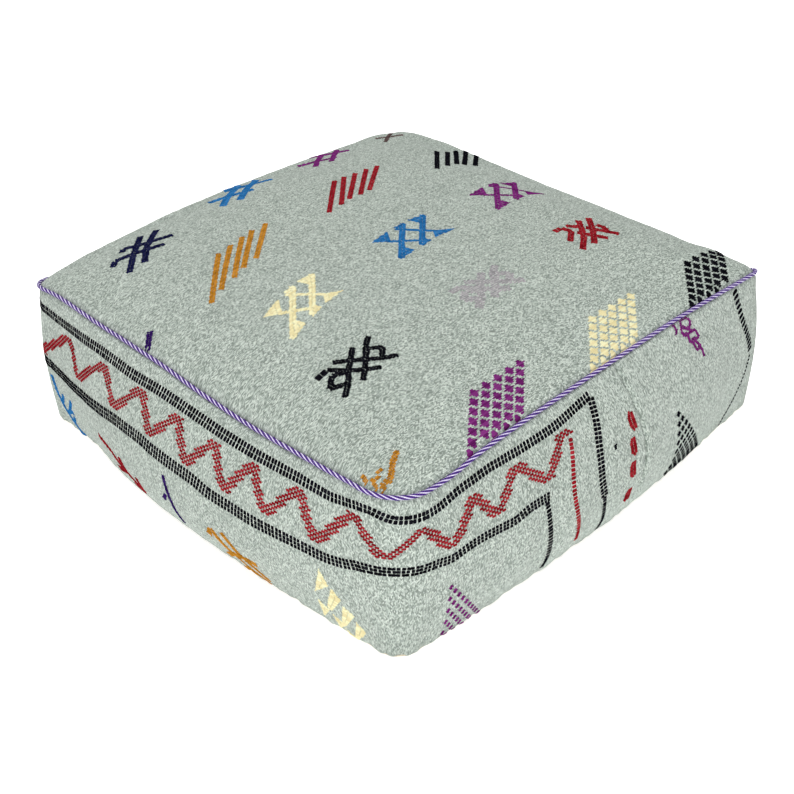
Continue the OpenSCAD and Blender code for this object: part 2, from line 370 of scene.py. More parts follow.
def woven(name, shades, float_l, float_w, bump, blotch, sheen=0.25):
    """Plain weave of floats float_l long and float_w wide, each in its own shade of the heathered yarn."""
    m = Nodes(name)
    u, v, _ = m.attribute()
    wander = m.times(m.math("SUBTRACT", m.noise(m.vector(u, v), 0.09, 2), 0.5), 1.6)
    line = m.math("DIVIDE", m.plus(v, wander), float_w)
    row = m.math("FLOOR", line)
    odd = m.math("MODULO", m.math("ABSOLUTE", row), 2.0)
    along = m.plus(m.math("DIVIDE", u, float_l), m.times(odd, 0.5))
    col = m.math("FLOOR", along)
    draw = m.add("TexWhiteNoise", {"Vector": m.vector(col, row, 3.0)}, noise_dimensions="3D").outputs["Value"]
    arch = m.math("SINE", m.times(m.math("FRACT", along), math.pi))
    tube = m.math("SINE", m.times(m.math("FRACT", line), math.pi))
    height = m.times(m.math("POWER", arch, 0.5), m.math("POWER", tube, 0.7))
    flecks = m.noise(m.vector(m.times(u, 0.95), m.times(v, 2.5), 1.0), 1.0, 3, 0.62)
    shade = m.plus(m.times(draw, 0.55), m.times(flecks, 0.45))
    colour = m.ramp(shade, shades)
    # Darker where each float dips between its neighbours: painted shade in the hollows of the weave.
    gap = m.plus(m.times(height, 0.36), 0.72)
    colour = m.tinted(colour, m.vector(gap, gap, gap))
    streak = m.noise(m.vector(m.times(u, 0.012), m.times(v, 0.07), 5.0), 1.0, 3, 0.6)
    colour = m.tinted(colour, m.ramp(streak, [(0.25, grey(1 - blotch)), (0.75, grey(1.0))]))
    fibre = m.noise(m.vector(m.times(u, 1.4), m.times(v, 6.0), 9.0), 1.0, 2)
    m.bump(m.plus(height, m.times(fibre, 0.5)), bump * MM, 0.85)
    rough = m.plus(0.78, m.times(flecks, 0.18))
    return m.surface(colour, rough, sheen, 0.45, 0.2)


def yarn(name, colour, dark, light=None):
    """Embroidery yarn: fine plies that slant across each stitch, which has its own shade."""
    m = Nodes(name)
    u, v, draw = m.attribute()
    slant = m.plus(m.times(u, 2.6), m.times(v, 5.2))
    ply = m.math("SINE", slant)
    fluff = m.noise(m.vector(m.times(u, 1.2), m.times(v, 5.0), draw), 1.0, 3, 0.6)
    shade = m.plus(m.times(draw, 0.5), m.times(fluff, 0.5))
    light = light or tuple(min(1.0, 1.35 * c + 0.02) for c in colour)
    tint = m.ramp(shade, [(0.2, dark), (0.5, colour), (0.85, light)])
    # Darker along the grooves between the slanting plies: painted shade.
    ply_groove_shade = m.plus(m.times(ply, 0.1), 0.9)
    tint = m.tinted(tint, m.vector(ply_groove_shade, ply_groove_shade, ply_groove_shade))
    m.bump(m.plus(ply, fluff), 0.12 * MM, 0.8)
    return m.surface(tint, m.plus(0.6, m.times(fluff, 0.3)), specular=0.0)


def cord_yarn(name, dark, colour, light):
    """Smooth cord yarn, plied the other way."""
    m = Nodes(name)
    u, v, _ = m.attribute()
    ply = m.math("SINE", m.plus(m.times(u, 3.4), m.times(v, 2.0)))
    fluff = m.noise(m.vector(m.times(u, 0.8), v, 2.0), 1.0, 3, 0.6)
    shade = m.plus(m.times(ply, 0.2), fluff)
    m.bump(shade, 0.16 * MM, 0.8)
    return m.surface(m.ramp(shade, [(0.2, dark), (0.5, colour), (0.8, light)]),
                     m.plus(0.5, m.times(fluff, 0.25)), 0.04, 0.4, 0.15)


def position_noise(m, scale, detail=3, roughness=0.55):
    """Noise over an object's own position, and the socket of that position."""
    place = m.add("TexCoord").outputs["Object"]
    return m.noise(place, scale, detail, roughness), place


def metal(name, colour, rough):
    m = Nodes(name)
    wear, place = position_noise(m, 900)
    stretch = m.add("Mapping", {"Vector": place, "Scale": (60, 2400, 2400)}).outputs[0]
    brush = m.noise(stretch, 1.0, 2)
    tint = m.tinted((*colour, 1), m.ramp(wear, [(0.3, grey(0.8)), (0.7, grey(1.0))]))
    m.bump(brush, 0.02 * MM, 0.5)
    return m.surface(tint, m.plus(rough, m.times(brush, 0.18)), specular=0.5, metallic=1.0)


def moulded(name, colour, rough):
    m = Nodes(name)
    grain, _ = position_noise(m, 1600)
    tint = m.tinted((*colour, 1), m.ramp(grain, [(0.3, grey(0.88)), (0.7, grey(1.0))]))
    m.bump(grain, 0.02 * MM, 0.5)
    return m.surface(tint, m.plus(rough, m.times(grain, 0.15)), specular=0.4)


def fluffy(name, dark, light, scale, bump):
    m = Nodes(name)
    tuft, _ = position_noise(m, scale, 5, 0.65)
    m.bump(tuft, bump * MM, 0.9)
    tint = m.ramp(tuft, [(0.3, dark), (0.7, light)])
    return m.surface(tint, m.plus(0.8, m.times(tuft, 0.15)), 0.3, 0.6, 0.1)


SAGE = [(0.22, (0.2, 0.24, 0.21)), (0.36, (0.3, 0.35, 0.305)), (0.5, (0.43, 0.495, 0.44)),
        (0.62, (0.55, 0.62, 0.56)), (0.78, (0.74, 0.81, 0.73))]
kilim = woven("kilim_cloth", SAGE, 1.9, 0.85, 0.4, 0.06, 0.2)
CREAM = [(0.3, (0.56, 0.49, 0.36)), (0.5, (0.68, 0.61, 0.47)), (0.7, (0.78, 0.72, 0.58))]
canvas = woven("canvas_cloth", CREAM, 1.3, 0.65, 0.2, 0.05, 0.15)
calico = woven("calico_cloth", [(0.3, (0.72, 0.7, 0.62)), (0.7, (0.86, 0.84, 0.77))],
               0.9, 0.45, 0.12, 0.03, 0.1)
tape_cloth = woven("zip_tape_cloth", [(0.3, (0.66, 0.62, 0.5)), (0.7, (0.8, 0.76, 0.64))],
                   1.1, 0.7, 0.18, 0.03, 0.1)
wadding_fluff = fluffy("wadding_fluff", (0.76, 0.76, 0.74), (0.93, 0.93, 0.91), 260, 1.2)
foam_cells = fluffy("foam_cells", (0.66, 0.57, 0.3), (0.87, 0.8, 0.52), 1500, 0.35)
purple_cord = cord_yarn("purple_cord", (0.012, 0.003, 0.05), (0.05, 0.014, 0.18), (0.13, 0.05, 0.34))
pale_cord = cord_yarn("pale_cord", (0.5, 0.42, 0.7), (0.74, 0.67, 0.9), (0.92, 0.88, 1.0))
thread_yarn = yarn("thread_yarn", (0.66, 0.6, 0.47), (0.5, 0.44, 0.32))
YARNS = {
    "black": yarn("black_yarn", (0.005, 0.005, 0.008), (0.002, 0.002, 0.003), (0.014, 0.014, 0.02)),
    "white": yarn("white_yarn", (0.66, 0.7, 0.64), (0.42, 0.46, 0.41)),
    "red": yarn("red_yarn", (0.3, 0.012, 0.02), (0.17, 0.006, 0.01)),
    "purple": yarn("purple_yarn", (0.19, 0.022, 0.17), (0.1, 0.01, 0.09)),
    "violet": yarn("violet_yarn", (0.03, 0.008, 0.1), (0.015, 0.004, 0.05)),
    "mauve": yarn("mauve_yarn", (0.38, 0.33, 0.37), (0.3, 0.26, 0.3)),
    "umber": yarn("umber_yarn", (0.12, 0.08, 0.075), (0.06, 0.04, 0.04)),
    "navy": yarn("navy_yarn", (0.008, 0.01, 0.05), (0.004, 0.004, 0.02)),
    "blue": yarn("blue_yarn", (0.026, 0.17, 0.42), (0.014, 0.1, 0.28)),
    "ochre": yarn("ochre_yarn", (0.5, 0.22, 0.025), (0.32, 0.13, 0.012)),
    "cream": yarn("cream_yarn", (0.92, 0.84, 0.5), (0.8, 0.7, 0.38)),
}

# ---------------------------------------------------------------- Cover: grids of the band and of the top

SIDE_COLS, ARC_COLS, WALL_ROWS = 160, 21, 72
BLOCK = SIDE_COLS + ARC_COLS
quarter_w = np.concatenate([
    (1 - CORNER) * np.arange(SIDE_COLS) / SIDE_COLS, 1 - CORNER + CORNER * np.arange(ARC_COLS) / ARC_COLS
])
wall_w = np.concatenate([k + quarter_w for k in range(4)])
rows = np.arange(WALL_ROWS + 1) / WALL_ROWS
wall_f = FIRST_F + (1 - FIRST_F) * (rows - 0.6 * np.sin(2 * math.pi * rows) / (2 * math.pi))
WALL_W, WALL_F = np.meshgrid(wall_w, wall_f, indexing="ij")

TOP_N = 104
steps = np.arange(-TOP_N, TOP_N + 1) / TOP_N
GX, GY = np.meshgrid(steps, steps, indexing="ij")


def square_to_ring(gx, gy):
    """Where a point of a square grid lies round the cushion, and how far out."""
    reach = np.maximum(np.maximum(np.abs(gx), np.abs(gy)), 1e-9)
    side_k = np.select([(gx >= np.abs(gy)), (gy >= np.abs(gx)), (-gx >= np.abs(gy))], [0, 1, 2], 3)
    q = np.select([side_k == 0, side_k == 1, side_k == 2], [gy / reach, -gx / reach, -gy / reach], gx / reach)
    # Halfway round the corner is where the square's diagonal goes
    half_side = (1 - CORNER) / 2
    return np.mod(side_k + half_side + 0.5 * q, 4), reach


TOP_W, reach = square_to_ring(GX, GY)
TOP_S = np.clip(reach + 0.45 * reach * (1 - reach), 1e-4, 1)

wall_p, top_p = wall(WALL_W, WALL_F), top(TOP_W, TOP_S)
wall_n, top_n = normals(wall_p, True), normals(top_p, False)
wall_t, top_t = t_of(WALL_W), t_of(TOP_W)


def arc_down(p):
    """Distance down the cloth from the seam, for each column of a wall grid."""
    step = np.linalg.norm(np.diff(p, axis=1), axis=2)
    return np.concatenate([np.cumsum(step[:, ::-1], axis=1)[:, ::-1], np.zeros((len(p), 1))], axis=1)


wall_h = arc_down(wall_p)
wall_l = wall_h[:, :1]

# ---------------------------------------------------------------- Cloth simulation of the stuffed cover

SIM_VOXEL = 8 * MM
SIM_FRAMES = 16
SIM_CAP = 4.5         # furthest that a point moves
SIM_START = 2.5       # how much smaller than the finished cover the simulation starts
SIM_HELD = 6.0        # cloth this close to a stitched line holds still
SIM_FREE = 16.0       # cloth further than this from it is free


def points_of(mesh):
    """Points of a mesh, in metres."""
    flat = np.empty(len(mesh.vertices) * 3)
    mesh.vertices.foreach_get("co", flat)
    return flat.reshape(-1, 3)


def stuffed_cover():
    """Blows up the closed cover for a few frames. Returns a tree of its faces in metres, its points in
    millimetres, the points of each face, and how far each point moved in millimetres."""
    w = np.concatenate([k + np.append(np.arange(0, 0.88, 0.02), np.arange(0.88, 1, 0.024)) for k in range(4)])
    body = [wall(w, f, SIM_START) for f in np.linspace(0.0, 1, 22)]
    body[0][:, 2] = 0
    over = [top(w, s, SIM_START, CROWN - SIM_START) for s in np.append(np.linspace(1, 0.1, 34)[1:], 0.02)]
    rings = np.array(body + over)
    count = rings.shape[1]
    verts = rings.reshape(-1, 3)
    faces = []
    for j in range(len(rings) - 1):
        for i in range(count):
            a, b = j * count + i, j * count + (i + 1) % count
            faces.append([a, b, b + count, a + count])
    faces.append(list(range(count))[::-1])
    faces.append([(len(rings) - 1) * count + i for i in range(count)])
    obj = make_object("sim_body", verts, faces, kilim)
    remesh = obj.modifiers.new("remesh", "REMESH")
    remesh.mode = "VOXEL"
    remesh.voxel_size = SIM_VOXEL
    bpy.context.view_layer.update()
    mesh = bpy.data.meshes.new_from_object(obj.evaluated_get(bpy.context.evaluated_depsgraph_get()))
    obj.modifiers.clear()
    obj.data = mesh
    start = points_of(mesh)
    pins = obj.vertex_groups.new(name="sewn")
    for i, d in enumerate(seam_distance(start / MM)):
        if d < SIM_FREE:
            pins.add([i], float(1 - max(0.0, d - SIM_HELD) / (SIM_FREE - SIM_HELD)), "REPLACE")
    cloth = obj.modifiers.new("cloth", "CLOTH")
    settings = cloth.settings
    settings.quality = 5
    settings.mass = 0.4
    settings.tension_stiffness = settings.compression_stiffness = 18
    settings.bending_stiffness = 4
    settings.use_pressure = True
    settings.uniform_pressure_force = 4
    settings.vertex_group_mass = "sewn"
    settings.effector_weights.gravity = 0
    cloth.collision_settings.use_collision = False
    scene = bpy.context.scene
    cloth.point_cache.frame_start, cloth.point_cache.frame_end = 1, SIM_FRAMES
    for number in range(1, SIM_FRAMES + 1):
        scene.frame_set(number)
    end = points_of(obj.evaluated_get(bpy.context.evaluated_depsgraph_get()).to_mesh())
    scene.frame_set(1)
    corners = [list(f.vertices) for f in mesh.polygons]
    tree = BVHTree.FromPolygons(start.tolist(), corners)
    moved = (end - start) / MM
    size = np.linalg.norm(moved, axis=1, keepdims=True)
    moved *= np.minimum(1, SIM_CAP / np.maximum(size, 1e-6))
    bpy.data.objects.remove(obj)
    return tree, start / MM, corners, moved


def seam_distance(p):
    """Distance of points from the seam and from the edge of the base, whichever is nearer."""
    w = np.arange(0, 4, 0.01)
    lines = np.concatenate([wall(w, 1.0), wall(w, 0.0)])
    best = np.full(len(p), 1e9)
    for a in range(0, len(lines), 100):
        d = np.linalg.norm(p[:, None] - lines[None, a:a + 100], axis=2).min(1)
        best = np.minimum(best, d)
    return best


def settle(points, result):
    """How the simulated cover moves these points of the drawn one."""
    tree, start, corners, moved = result
    out = np.zeros_like(points)
    for i, p in enumerate(points):
        spot, _, face, _ = tree.find_nearest(Vector(p * MM))
        near = corners[face]
        d = np.linalg.norm(start[near] - np.array(spot) / MM, axis=1)
        share = 1 / np.maximum(d, 1e-3) ** 2
        out[i] = (moved[near] * share[:, None]).sum(0) / share.sum()
    return out


def blurred(field, wrap):
    """A grid of values smoothed along both its axes, round the cushion along the first when wrap is set."""
    for _ in range(2):
        for axis in (0, 1):
            if axis == 0 and wrap:
                field = (np.roll(field, 1, 0) + 2 * field + np.roll(field, -1, 0)) / 4
            else:
                pad = [(0, 0)] * field.ndim
                pad[axis] = (1, 1)
                wide = np.pad(field, pad, mode="edge")
                low = np.take(wide, range(0, field.shape[axis]), axis)
                high = np.take(wide, range(2, field.shape[axis] + 2), axis)
                field = (low + 2 * field + high) / 4
    return field


def swellings(moved, n, wrap):
    """How far the simulated cover stands out from the drawn one, apart from its general growth."""
    out = blurred((moved * n).sum(-1), wrap)
    return np.clip(out - np.median(out), -1.4, 2.2)


wall_move, top_move = np.zeros(wall_p.shape[:2]), np.zeros(top_p.shape[:2])
sim = stuffed_cover()
wall_move = swellings(settle(wall_p.reshape(-1, 3), sim).reshape(wall_p.shape), wall_n, True)
top_move = swellings(settle(top_p.reshape(-1, 3), sim).reshape(top_p.shape), top_n, False)
wall_move *= smooth((np.minimum(wall_h, wall_l - wall_h) - 4) / 24)
top_move *= smooth(((1 - TOP_S) * HALF - 4) / 24) * smooth((TOP_S - 0.35) / 0.25)

# ---------------------------------------------------------------- Seams, puckers and soft dents in the cover

# Upright joins between the strips of the band
JOINS = [t_of(np.array(w)) for w in (0.0, 0.88, 1.88, 3.44)]

# Soft dents and swellings of the band: t, h, spread along t, spread along h, depth
DENTS = [
    (-470, 52, 40, 26, -1.6), (-330, 58, 55, 22, 1.2), (-120, 56, 60, 20, 1.4), (-30, 52, 26, 40, -1.2),
    (60, 52, 40, 22, 1.3), (150, 105, 14, 60, -1.8), (185, 120, 16, 60, 1.4), (215, 95, 12, 60, -1.6),
    (290, 60, 16, 50, 1.2), (330, 95, 20, 45, -1.8), (400, 70, 40, 45, 1.6), (450, 110, 22, 60, -2.0),
    (500, 80, 20, 60, 1.4), (-230, 130, 70, 30, 1.5), (-400, 130, 60, 26, -1.4), (90, 140, 50, 26, 1.4)
]
# Soft dents of the top: x, y, spread along x, spread along y, depth
TOP_DENTS = [
    (-190, -60, 70, 60, 1.2), (-60, 60, 80, 70, -1.5), (120, -40, 80, 60, 1.4), (-120, 180, 70, 60, -1.3),
    (180, 150, 80, 70, -1.4), (40, -180, 70, 40, 1.0), (-230, -220, 40, 40, -1.2), (225, -215, 34, 26, -2.2),
    (205, -235, 60, 10, 1.0), (60, 210, 90, 40, 1.2)
]


def dents(a, b, rows):
    """Sum of bells on a chart, from rows of where, how wide and how deep each is."""
    total = np.zeros_like(a)
    for a0, b0, wide_a, wide_b, depth in rows:
        total += depth * bell(a - a0, wide_a) * bell(b - b0, wide_b)
    return total


rise = 0.8 * bell(wall_h - 9, 7)    # fold of the seam allowance
rise -= 1.6 * bell(wall_h, 2.6)     # cloth turns in beside the cord
rise += 0.9 * ripple(wall_t, 1) * np.exp(-wall_h / 16)
rise += 1.3 * ripple(wall_t, 2) * np.exp(-(wall_l - wall_h) / 18)
rise += dents(wall_t, wall_h, DENTS)
rise += 0.7 * ripple(wall_t + 0.35 * wall_h, 5, ((47, 0.7), (83, 1.0))) * smooth(wall_h / 40)
for join in JOINS:
    away = np.abs(np.mod(wall_t - join + ROUND / 2, ROUND) - ROUND / 2)
    rise += 0.8 * bell(away - 6, 4) - 1.9 * bell(away, 2.4)
    rise += 0.8 * np.exp(-away / 12) * np.sin(wall_h / 2.9 + 2 * np.sin(wall_h / 17)) * smooth(wall_h / 10)
wall_p = wall_p + (wall_move + rise)[..., None] * wall_n
wall_p[..., 2] = np.maximum(wall_p[..., 2], 1.0)

edge = (1 - TOP_S) * HALF
rise = -1.5 * bell(edge, 3.0) + 0.5 * bell(edge - 9, 6)
rise += 0.85 * ripple(top_t, 3) * np.exp(-edge / 18)
rise += dents(top_p[..., 0], top_p[..., 1], TOP_DENTS)
rise += 0.5 * ripple(top_t + 0.3 * edge, 6, ((61, 0.7), (97, 1.0))) * np.exp(-edge / 90)
top_p = top_p + (top_move + rise)[..., None] * top_n

# ---------------------------------------------------------------- Cover: pieces

wall_n = normals(wall_p, True)
wall_weave = np.stack([wall_h, wall_t, np.zeros_like(wall_t)], -1)
top_weave = np.stack([top_p[..., 0], top_p[..., 1], np.zeros_like(top_t)], -1)

top_panel = sheet_object("cover_top_panel", top_p, COVER_T, kilim, top_weave)
cushion_piece(top_panel, "kilim", "top_panel", fill=0.85)

STRIPS = [
    ("cover_side_strip_back_right", "side_strip_back_right", 0, SIDE_COLS),
    ("cover_side_strip_back_left", "side_strip_back_left", SIDE_COLS, BLOCK + SIDE_COLS),
    ("cover_side_strip_front", "side_strip_front", BLOCK + SIDE_COLS, 3 * BLOCK + SIDE_COLS // 2),
    ("cover_side_strip_right", "side_strip_right", 3 * BLOCK + SIDE_COLS // 2, 4 * BLOCK),
]
for name, node, first, last in STRIPS:
    cols = np.arange(first, last + 1) % (4 * BLOCK)
    weave = wall_weave[cols].copy()
    weave[..., 1] = wall_t[cols[0]][0] + np.mod(wall_t[cols] - wall_t[cols[0]][0], ROUND)
    weave[-1, :, 1] = np.maximum(weave[-1, :, 1], weave[-2, :, 1] + 1)
    weave[..., 0] += 7 * first
    piece = sheet_object(name, wall_p[cols], COVER_T, kilim, weave, n=wall_n[cols])
    cushion_piece(piece, "kilim", node, fill=0.85)

# ---------------------------------------------------------------- Piping cord

CORD_PITCH = 25.0
HELIX_R = 1.35
RINGS_PER_TURN = 14
SIDES = 6


def seam_line(count):
    """Middle of the cord all the way round, and its outward and upward directions."""
    t = np.arange(count) / count * ROUND - ROUND / 2
    w = w_of(t)
    p = 0.5 * (wall(w, 1.0) + top(w, 1.0))
    for _ in range(3):
        p = (np.roll(p, 1, 0) + 2 * p + np.roll(p, -1, 0)) / 4
    along = unit(np.roll(p, -1, 0) - np.roll(p, 1, 0))
    out = unit(np.cross(along, [0, 0, 1.0]))
    up = np.cross(out, along)
    return p + 0.9 * out + 0.8 * up, out, up


def strands(name, phases, strand_r, material, slot, node):
    """Strands of one colour, each a tube that winds round the middle of the cord from its own phase."""
    count = round(ROUND / CORD_PITCH) * RINGS_PER_TURN
    middle, out, up = seam_line(count)
    verts, faces, weave = [], [], []
    for phase in phases:
        angle = phase - 2 * math.pi * np.arange(count) / RINGS_PER_TURN
        wobble = 1 + 0.05 * np.sin(np.arange(count) * 0.37 + phase)
        a = np.cos(angle)[:, None] * out + np.sin(angle)[:, None] * up
        line = middle + HELIX_R * a
        along = unit(np.roll(line, -1, 0) - np.roll(line, 1, 0))
        a = unit(a - (a * along).sum(1, keepdims=True) * along)
        b = np.cross(along, a)
        first = sum(len(v) for v in verts)
        turn = 2 * math.pi * np.arange(SIDES) / SIDES
        ring = line[:, None] + strand_r * wobble[:, None, None] * (
            np.cos(turn)[None, :, None] * a[:, None] + np.sin(turn)[None, :, None] * b[:, None]
        )
        verts.append(ring.reshape(-1, 3))
        far = np.arange(count)[:, None] * CORD_PITCH / RINGS_PER_TURN + 0 * turn[None]
        weave.append(np.stack([far, 0 * far + turn[None] * strand_r, 0 * far], -1).reshape(-1, 3))
        for i in range(count):
            for j in range(SIDES):
                here, ahead, q = first + i * SIDES, first + (i + 1) % count * SIDES, (j + 1) % SIDES
                faces.append([here + j, here + q, ahead + q, ahead + j])
    obj = make_object(name, np.concatenate(verts), faces, material, np.concatenate(weave))
    return cushion_piece(obj, slot, node)


THIRD = 2 * math.pi / 3
strands("piping_strands_purple", (0.0, THIRD, 2 * THIRD), 0.95, purple_cord, "cord_purple",
        "piping_ply_purple")
strands("piping_strands_pale", (THIRD / 2, 1.5 * THIRD, 2.5 * THIRD), 0.64, pale_cord, "cord_pale",
        "piping_ply_pale")

# ---------------------------------------------------------------- Where the stitched motifs lie

cover_verts = np.concatenate([wall_p.reshape(-1, 3), top_p.reshape(-1, 3)])
wall_quads = grid_faces(*wall_p.shape[:2], True)
top_quads = grid_faces(*top_p.shape[:2], False, wall_p.shape[0] * wall_p.shape[1])
wall_tree = BVHTree.FromPolygons(cover_verts.tolist(), wall_quads)
top_tree = BVHTree.FromPolygons(cover_verts.tolist(), top_quads)

# Chart of the band: points of the evenly shaped cushion, by t and h
CHART_STEP = 2.0
BAND_H = 190          # how far down the band the stitching goes
TOP_SHIFT = 2.2       # how far the top's motifs lie to the right, except at the front edge
chart_t = np.arange(-ROUND / 2, ROUND / 2 + CHART_STEP, CHART_STEP)
chart_f = np.linspace(0, 1, 121)
plain = wall(w_of(chart_t)[:, None], chart_f[None], even=True)
plain_h = arc_down(plain)
chart_h = np.arange(0, 212, CHART_STEP)
chart = np.empty((len(chart_t), len(chart_h), 3))
for i in range(len(chart_t)):
    for axis in range(3):
        chart[i, :, axis] = np.interp(chart_h, plain_h[i, ::-1], plain[i, ::-1, axis])


def on_band(t, h):
    """Point and outward direction on the band at t and h."""
    a = (np.mod(t + ROUND / 2, ROUND)) / CHART_STEP
    over, h = min(h, 0), max(h, 0)
    b = min(h, chart_h[-1] - CHART_STEP) / CHART_STEP
    i, j = int(a), int(b)
    k = min(i + 1, len(chart_t) - 1)
    p = (chart[i, j] * (i + 1 - a) + chart[k, j] * (a - i)) * (j + 1 - b)
    p = p + (chart[i, j + 1] * (i + 1 - a) + chart[k, j + 1] * (a - i)) * (b - j)
    spot, n, _, _ = wall_tree.find_nearest(Vector((p[0], p[1], p[2] - over)))
    return np.array(spot), np.array(n)


def on_top(x, y):
    """Point and upward direction on the top at x and y."""
    x += TOP_SHIFT * smooth((y + 235) / 60)
    spot, n, _, _ = top_tree.ray_cast(Vector((x, y, 400)), Vector((0, 0, -1)))
    if spot is None:
        return None, None
    return np.array(spot), np.array(n)


def band_room(t, h):
    """Whether a stitch can end here, between the cord and the foot of the band."""
    return 2.2 - seam_wave(t) < h < BAND_H


def top_room(x, y):
    return on_top(x, y)[0] is not None


class Stitches:
    """Raised stitches of one yarn, gathered into one mesh."""

    # Half-width and height across a stitch, then where along it and how big each section is
    PROFILE = np.array([(-1, -0.35), (-0.62, 0.75), (0.62, 0.75), (1, -0.35)])
    SECTIONS = ((0.0, 0.5, 0.1), (0.16, 1.0, 0.95), (0.84, 1.0, 0.95), (1.0, 0.5, 0.1))

    def __init__(self):
        self.verts, self.faces, self.weave, self.count = [], [], [], 0

    def stitch(self, place, a, b, wide, high=0.75):
        """One stitch from a to b on the cloth, given as points of the chart place."""
        a, b = np.array(a, float), np.array(b, float)
        wide *= rng.uniform(0.92, 1.06)
        high *= rng.uniform(0.85, 1.12)
        draw = rng.uniform()
        spots = []
        for where, _, _ in self.SECTIONS:
            p, n = place(*(a + (b - a) * where))
            if p is None:
                return
            spots.append((p, n))
        along = spots[-1][0] - spots[0][0]
        length = np.linalg.norm(along)
        if length < 0.3:
            return
        along /= length
        first = 4 * len(self.SECTIONS) * self.count
        for (p, n), (where, narrow, low) in zip(spots, self.SECTIONS):
            side = np.cross(n, along)
            side /= max(np.linalg.norm(side), 1e-9)
            for across, lift in self.PROFILE:
                rise = lift * high * (low if lift > 0 else 1)
                self.verts.append(p + side * across * wide / 2 * narrow + n * rise)
                self.weave.append((where * length, across * wide / 2, draw))
        last = len(self.SECTIONS) - 1
        for s in range(last):
            for c in range(4):
                d, here, ahead = (c + 1) % 4, first + 4 * s, first + 4 * s + 4
                self.faces.append([here + c, here + d, ahead + d, ahead + c])
        self.faces.append([first + 3, first + 2, first + 1, first])
        self.faces.append([first + 4 * last + c for c in range(4)])
        self.count += 1


stitches = {name: Stitches() for name in YARNS}
PITCH = 1.7           # from one row of stitches to the next
CELL = 1.2            # from one possible end of a stitch to the next


def fill(colour, place, shapes, room, pitch=PITCH, yarn_w=2.05, longest=7.0, high=0.75):
    """Fills closed outlines with rows of stitches that run along the first axis of the chart."""
    shapes = [np.array(s, float) for s in shapes]
    nearest, furthest = min(s[:, 1].min() for s in shapes), max(s[:, 1].max() for s in shapes)
    for j in range(math.ceil(nearest / pitch), math.floor(furthest / pitch) + 1):
        v = j * pitch
        spans = []
        for s in shapes:
            cuts = []
            for p, q in zip(s, np.roll(s, -1, 0)):
                if (p[1] <= v) != (q[1] <= v):
                    cuts.append(p[0] + (q[0] - p[0]) * (v - p[1]) / (q[1] - p[1]))
            cuts.sort()
            spans += list(zip(cuts[::2], cuts[1::2]))
        spans.sort()
        joined = []
        for a, b in spans:
            if joined and a <= joined[-1][1] + 0.4:
                joined[-1][1] = max(joined[-1][1], b)
            else:
                joined.append([a, b])
        for a, b in joined:
            a, b = round(a / CELL) * CELL, round(b / CELL) * CELL
            if b - a < CELL:
                continue
            parts = max(1, math.ceil((b - a) / longest))
            for i in range(parts):
                c, d = a + (b - a) * i / parts, a + (b - a) * (i + 1) / parts
                if room(c, v) and room(d, v):
                    stitches[colour].stitch(place, (c, v), (d, v), yarn_w, high)


def bar(p, q, wide):
    """Outline of a straight stroke from p to q."""
    p, q = np.array(p, float), np.array(q, float)
    along = (q - p) / np.linalg.norm(q - p)
    side = np.array([-along[1], along[0]]) * wide / 2
    return [p + side, q + side, q - side, p - side]


def strokes(colour, lines, wide, place=on_top, room=top_room, **more):
    """Strokes through lists of points."""
    shapes = [bar(p, q, wide) for line in lines for p, q in zip(line[:-1], line[1:])]
    fill(colour, place, shapes, room, **more)


def knot(colour, x, y, wide=13.6, tall=8.6):
    """Star-shaped knot of five rows, which are thicker where the top falls away to the seam."""
    _, n = on_top(x, y)
    if n is None:
        return
    thick = tall / 4.1 / max(n[2], 0.5)
    for k, share in enumerate((0.34, 0.56, 1, 0.56, 0.34)):
        a, b, v = x - share * wide / 2, x + share * wide / 2, y + (k - 2) * tall / 5
        if top_room(a, v) and top_room(b, v):
            stitches[colour].stitch(on_top, (a, v), (b, v), thick)


# ---------------------------------------------------------------- Motifs of the top, from the front edge back


def checker(colour, starts, y0=-243, rows=7, shift=-8.0, down=6.8):
    """Rows of knots, each row nearer to the front edge than the last and a little to the left of it."""
    for j in range(rows):
        for x in starts:
            knot(colour, x + shift * j, y0 - down * j)


checker("purple", (-140, -124, -108, -92, -77))
checker("cream", (31, 47, 62, 78, 93))
checker("black", (192, 207, 223, 238, 252))
strokes("ochre", [
    [(-240, -245), (-251, -251), (-260, -258), (-265, -262)],
    [(-264, -262), (-270, -260), (-275, -262), (-276, -268)],
], 5.4, high=1.0)
strokes("ochre", [[(-277, -241), (-280, -249)], [(-275, -250), (-278, -260)], [(-261, -249), (-269, -249)],
                  [(-268, -254), (-276, -251)]], 3.6)

HASH = [
    [(-217, -130), (-206, -145), (-195, -157), (-182, -166)],
    [(-207, -127), (-195, -138), (-184, -148), (-172, -159), (-160, -165)],
    [(-231, -168), (-216, -158), (-206, -147), (-195, -138), (-181, -126)],
    [(-206, -166), (-195, -157), (-184, -147), (-172, -134), (-160, -126)],
    [(-231, -130), (-217, -130)], [(-231, -149), (-219, -139), (-207, -147)], [(-231, -149), (-217, -158)],
    [(-184, -147), (-173, -138), (-162, -147), (-173, -157)],
]
strokes("black", HASH, 6.0, high=1.0)
MAUVE_SHIFT = 178     # the same motif again, further right, in thin and loose stitches
strokes("mauve", [[(x + MAUVE_SHIFT, y) for x, y in line] for line in HASH], 8.5,
        pitch=2.5, yarn_w=1.8, longest=5.0, high=0.4)
strokes("red", [
    [(117, -122), (130, -122), (133, -133), (113, -147)], [(110, -166), (135, -148), (160, -121)],
    [(130, -166), (154, -145), (175, -123)], [(138, -121), (149, -133)], [(135, -139), (152, -167)],
    [(152, -137), (170, -168)], [(167, -140), (170, -150), (160, -157)],
], 7.2)

